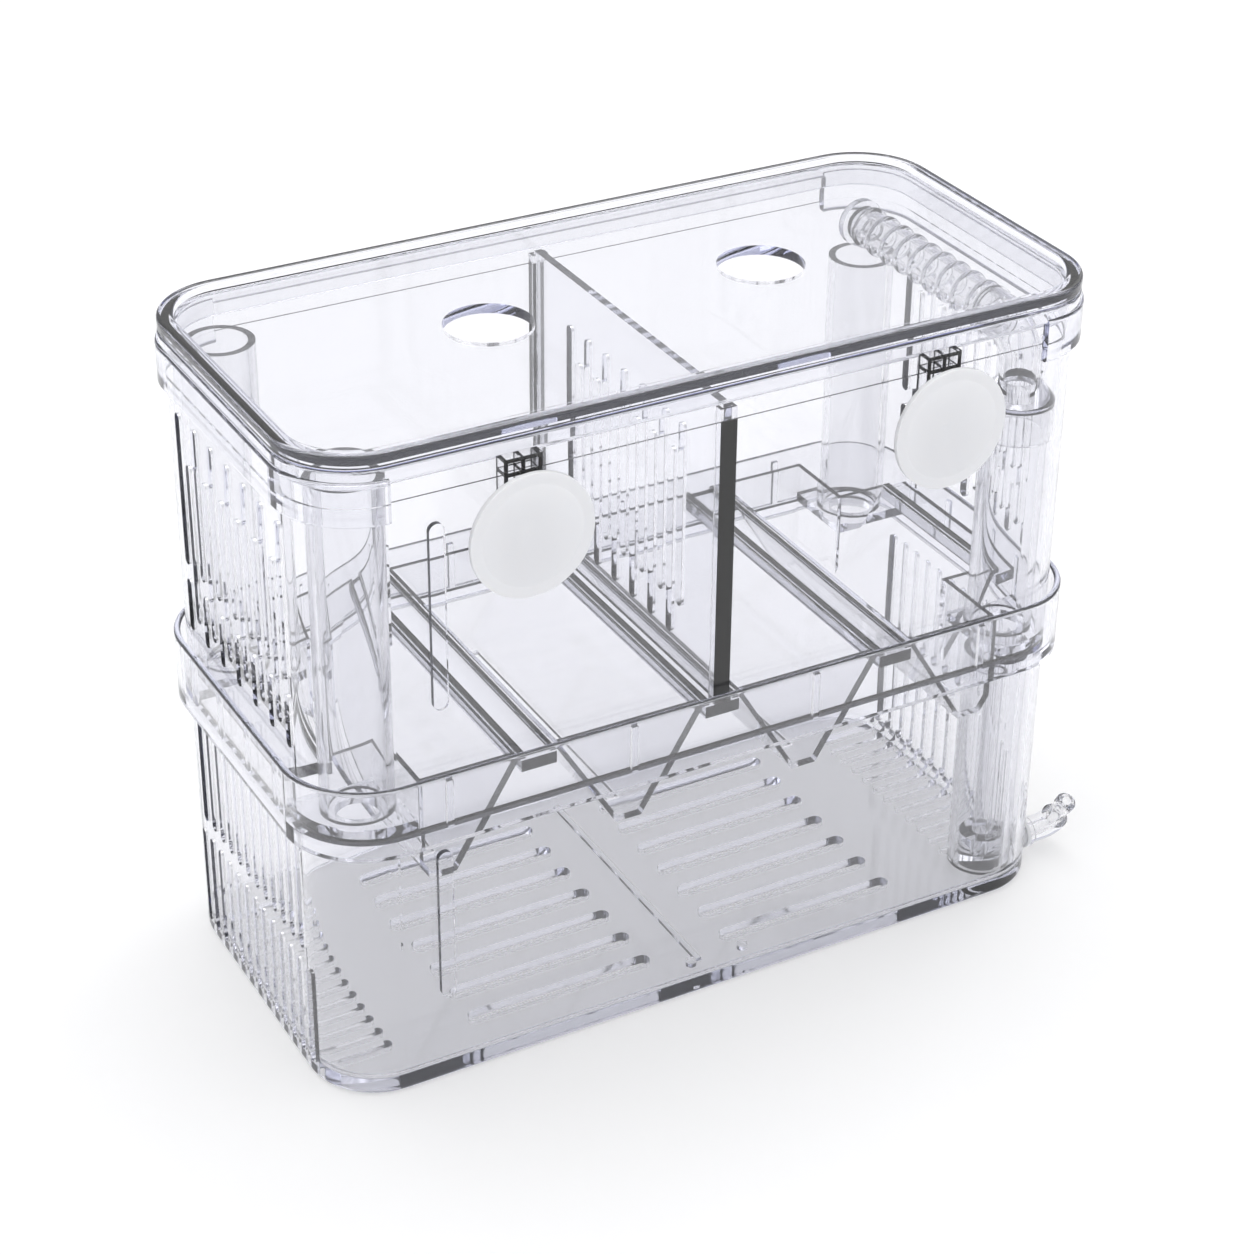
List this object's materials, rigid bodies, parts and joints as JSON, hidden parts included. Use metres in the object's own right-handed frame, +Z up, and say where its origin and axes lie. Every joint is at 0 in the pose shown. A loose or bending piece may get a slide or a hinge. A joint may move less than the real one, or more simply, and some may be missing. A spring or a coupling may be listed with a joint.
{
  "type": "fish breeding box",
  "caption": "Two-storey clear fish breeding box: a lidded upper tank with divider and V-shaped fry funnels over a slotted lower tank, with an air-lift riser, rain bar and suction cups.",
  "frame": {"origin": "centre of the tanks' footprint on the underside, where the box would stand on a table", "axes": "+X along the box towards the end with the riser, rain bar and air nozzle; -Y is the long side with the suction cups; +Z up"},
  "size_m": [0.2127, 0.105, 0.1656],
  "materials": {
    "clear_tank": "clear moulded plastic with a faint blue-violet edge",
    "clear_lid": "clear moulded plastic sheet with a polished rim",
    "clear_tube": "clear extruded tube",
    "clear_fitting": "clear thin moulded fitting",
    "soft_seal": "milky soft seal",
    "white_cup": "soft translucent white"
  },
  "bodies": {
    "lower_tank": {"lower_box": "clear_tank", "lower_riser": "clear_tube", "air_tube": "clear_tube", "nozzle_grommet": "soft_seal"},
    "upper_tank": {"upper_box": "clear_tank", "divider_rail_front": "clear_tank", "divider_rail_back": "clear_tank", "corner_tube_front_left": "clear_tube", "corner_tube_back_left": "clear_tube", "corner_tube_back_right": "clear_tube", "upper_riser": "clear_tube", "cup_bracket_left": "clear_tube", "cup_bracket_right": "clear_tube"},
    "lid": {"lid": "clear_lid"},
    "divider": {"divider": "clear_lid"},
    "funnel_far_left": {"funnel_far_left": "clear_fitting"},
    "funnel_left": {"funnel_left": "clear_fitting"},
    "funnel_right": {"funnel_right": "clear_fitting"},
    "funnel_far_right": {"funnel_far_right": "clear_fitting"},
    "rain_elbow": {"rain_elbow": "clear_fitting"},
    "rain_bar": {"rain_bar": "clear_fitting", "rain_bar_cap": "clear_fitting"},
    "air_nozzle": {"air_nozzle": "clear_fitting"},
    "suction_cup_left": {"suction_cup_left": "white_cup"},
    "suction_cup_right": {"suction_cup_right": "white_cup"}
  },
  "joints": [
    {"name": "upper_tank_lift", "type": "slide", "parent": "lower_tank", "child": "upper_tank", "axis": [0, 0, 1], "range_m": [0, 0.06]},
    {"name": "lid_lift", "type": "slide", "parent": "upper_tank", "child": "lid", "axis": [0, 0, 1], "range_m": [0, 0.16]},
    {"name": "divider_lift", "type": "slide", "parent": "upper_tank", "child": "divider", "axis": [0, 0, 1], "range_m": [0, 0.128]},
    {"name": "funnel_far_left_lift", "type": "slide", "parent": "upper_tank", "child": "funnel_far_left", "axis": [0, 0, 1], "range_m": [0, 0.112]},
    {"name": "funnel_left_lift", "type": "slide", "parent": "upper_tank", "child": "funnel_left", "axis": [0, 0, 1], "range_m": [0, 0.112]},
    {"name": "funnel_right_lift", "type": "slide", "parent": "upper_tank", "child": "funnel_right", "axis": [0, 0, 1], "range_m": [0, 0.112]},
    {"name": "funnel_far_right_lift", "type": "slide", "parent": "upper_tank", "child": "funnel_far_right", "axis": [0, 0, 1], "range_m": [0, 0.112]},
    {"name": "rain_elbow_lift", "type": "slide", "parent": "upper_tank", "child": "rain_elbow", "axis": [0, 0, 1], "range_m": [0, 0.144]},
    {"name": "rain_bar_turn", "type": "hinge", "parent": "rain_elbow", "child": "rain_bar", "pos_m": [0.08548, -0.02123, 0.15], "axis": [0, 1, 0], "range_deg": [-40, 40]},
    {"name": "air_nozzle_turn", "type": "hinge", "parent": "lower_tank", "child": "air_nozzle", "pos_m": [0.09865, -0.03383, 0.005], "axis": [1, 0, 0], "range_deg": [-115, 55]},
    {"name": "suction_cup_left_slide", "type": "slide", "parent": "upper_tank", "child": "suction_cup_left", "axis": [0, 0, -1], "range_m": [0, 0.02]},
    {"name": "suction_cup_right_slide", "type": "slide", "parent": "upper_tank", "child": "suction_cup_right", "axis": [0, 0, -1], "range_m": [0, 0.02]}
  ],
  "couplings": [
    {"joint": "divider_lift", "follows": "lid_lift", "ratio": 0.8},
    {"joint": "funnel_far_left_lift", "follows": "lid_lift", "ratio": 0.7},
    {"joint": "funnel_left_lift", "follows": "lid_lift", "ratio": 0.7},
    {"joint": "funnel_right_lift", "follows": "lid_lift", "ratio": 0.7},
    {"joint": "funnel_far_right_lift", "follows": "lid_lift", "ratio": 0.7},
    {"joint": "rain_elbow_lift", "follows": "lid_lift", "ratio": 0.9}
  ]
}
